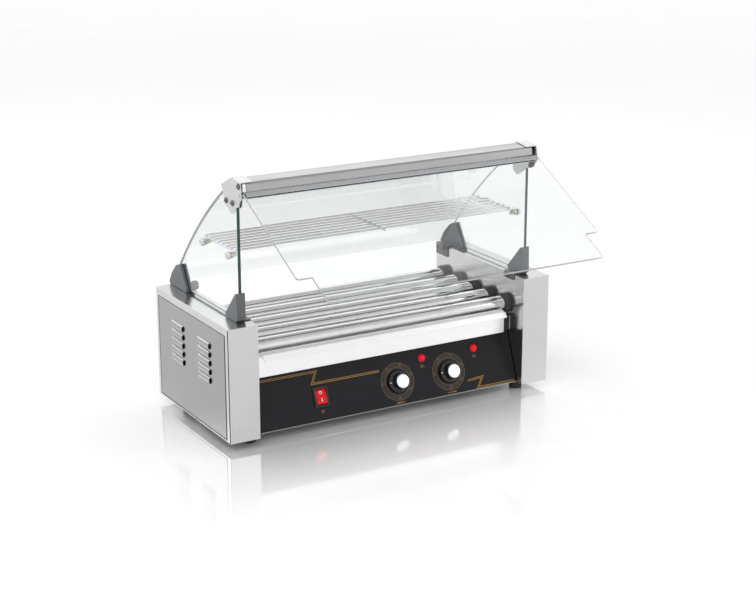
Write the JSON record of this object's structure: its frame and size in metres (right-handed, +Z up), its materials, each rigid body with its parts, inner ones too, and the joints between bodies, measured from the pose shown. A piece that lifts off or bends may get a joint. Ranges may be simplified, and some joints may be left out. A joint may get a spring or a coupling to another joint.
{
  "type": "hot dog roller grill",
  "caption": "Countertop roller grill with heated chrome rollers between two steel housings, a glass hood with bun rack and front flap, and a slide-out drip tray.",
  "frame": {"origin": "middle of the outer box with the flap open as stored, on the surface that the feet stand on", "axes": "+X to the right along the rollers as seen from the front, +Y to the back, +Z up"},
  "size_m": [0.5864, 0.4838, 0.4145],
  "materials": {
    "brushed_steel": "brushed along the sheet",
    "tray_steel": "bright brushed",
    "rail_aluminium": "satin",
    "chrome": "polished",
    "inner_metal": "plain galvanised",
    "panel_black": "gloss black",
    "black_plastic": "moulded",
    "clamp_grey": "satin moulded",
    "thermostat_body": "matt",
    "red_lens": "clear red",
    "acrylic": "clear polished sheet",
    "glass": "clear tempered, green edge",
    "rubber": "matt"
  },
  "bodies": {
    "frame": {"housing_right": "brushed_steel", "housing_left": "brushed_steel", "side_cover_right": "brushed_steel", "side_cover_left": "brushed_steel", "base_and_back": "brushed_steel", "cord_gland": "black_plastic", "control_panel": "panel_black", "thermostat_1": "thermostat_body", "thermostat_2": "thermostat_body", "pilot_lamp_1": "red_lens", "pilot_lamp_2": "red_lens", "switch_case": "black_plastic", "gear_motor": "inner_metal", "drive_chain": "inner_metal", "rear_screen": "acrylic", "top_bar": "brushed_steel", "hood_bracket_right": "brushed_steel", "hood_bracket_left": "brushed_steel", "bun_rack": "chrome", "rack_pin_front_right": "chrome", "rack_pin_front_left": "chrome", "rack_pin_rear_right": "chrome", "rack_pin_rear_left": "chrome", "side_glass_right": "glass", "side_glass_left": "glass", "front_clamp_right": "clamp_grey", "front_clamp_left": "clamp_grey", "rear_clamp_right": "clamp_grey", "rear_clamp_left": "clamp_grey", "foot_front_right": "rubber", "foot_front_left": "rubber", "foot_rear_right": "rubber", "foot_rear_left": "rubber", "heater_1": "inner_metal", "bushing_right_1": "black_plastic", "bushing_left_1": "black_plastic", "heater_2": "inner_metal", "bushing_right_2": "black_plastic", "bushing_left_2": "black_plastic", "heater_3": "inner_metal", "bushing_right_3": "black_plastic", "bushing_left_3": "black_plastic", "heater_4": "inner_metal", "bushing_right_4": "black_plastic", "bushing_left_4": "black_plastic", "heater_5": "inner_metal", "bushing_right_5": "black_plastic", "bushing_left_5": "black_plastic"},
    "drip_tray": {"drip_tray": "tray_steel"},
    "flap": {"flap_rail": "rail_aluminium", "flap_sheet": "acrylic"},
    "switch_rocker": {"switch_rocker": "red_lens"},
    "knob_1": {"knob_1": "black_plastic"},
    "knob_2": {"knob_2": "black_plastic"},
    "motor_sprocket": {"motor_sprocket": "inner_metal"},
    "roller_1": {"roller_1": "chrome"},
    "roller_2": {"roller_2": "chrome"},
    "roller_3": {"roller_3": "chrome"},
    "roller_4": {"roller_4": "chrome"},
    "roller_5": {"roller_5": "chrome"}
  },
  "joints": [
    {"name": "roller_1_spin", "type": "hinge", "parent": "frame", "child": "roller_1", "pos_m": [0, 0.01989, 0.142], "axis": [1, 0, 0], "continuous": true},
    {"name": "roller_2_spin", "type": "hinge", "parent": "frame", "child": "roller_2", "pos_m": [0, 0.06689, 0.142], "axis": [1, 0, 0], "continuous": true},
    {"name": "roller_3_spin", "type": "hinge", "parent": "frame", "child": "roller_3", "pos_m": [0, 0.11389, 0.142], "axis": [1, 0, 0], "continuous": true},
    {"name": "roller_4_spin", "type": "hinge", "parent": "frame", "child": "roller_4", "pos_m": [0, 0.16089, 0.142], "axis": [1, 0, 0], "continuous": true},
    {"name": "roller_5_spin", "type": "hinge", "parent": "frame", "child": "roller_5", "pos_m": [0, 0.20789, 0.142], "axis": [1, 0, 0], "continuous": true},
    {"name": "motor_sprocket_spin", "type": "hinge", "parent": "frame", "child": "motor_sprocket", "pos_m": [0.249, 0.11389, 0.072], "axis": [1, 0, 0], "continuous": true},
    {"name": "flap_hinge", "type": "hinge", "parent": "frame", "child": "flap", "pos_m": [0, -0.02161, 0.391], "axis": [-1, 0, 0], "range_deg": [-62, 14]},
    {"name": "tray_slide", "type": "slide", "parent": "frame", "child": "drip_tray", "axis": [0, -1, 0], "range_m": [0, 0.2]},
    {"name": "knob_1_turn", "type": "hinge", "parent": "frame", "child": "knob_1", "pos_m": [0.018, -0.00361, 0.04953], "axis": [0, 0.9379, -0.3469], "range_deg": [0, 270]},
    {"name": "knob_2_turn", "type": "hinge", "parent": "frame", "child": "knob_2", "pos_m": [0.1145, -0.00361, 0.04953], "axis": [0, 0.9379, -0.3469], "range_deg": [0, 270]},
    {"name": "switch_rocker_tip", "type": "hinge", "parent": "frame", "child": "switch_rocker", "pos_m": [-0.122, -0.0008, 0.04849], "axis": [1, 0, 0], "range_deg": [0, 18]}
  ],
  "couplings": [
    {"joint": "roller_2_spin", "follows": "roller_1_spin", "ratio": 1},
    {"joint": "roller_3_spin", "follows": "roller_1_spin", "ratio": 1},
    {"joint": "roller_4_spin", "follows": "roller_1_spin", "ratio": 1},
    {"joint": "roller_5_spin", "follows": "roller_1_spin", "ratio": 1},
    {"joint": "motor_sprocket_spin", "follows": "roller_1_spin", "ratio": 1.0714}
  ]
}
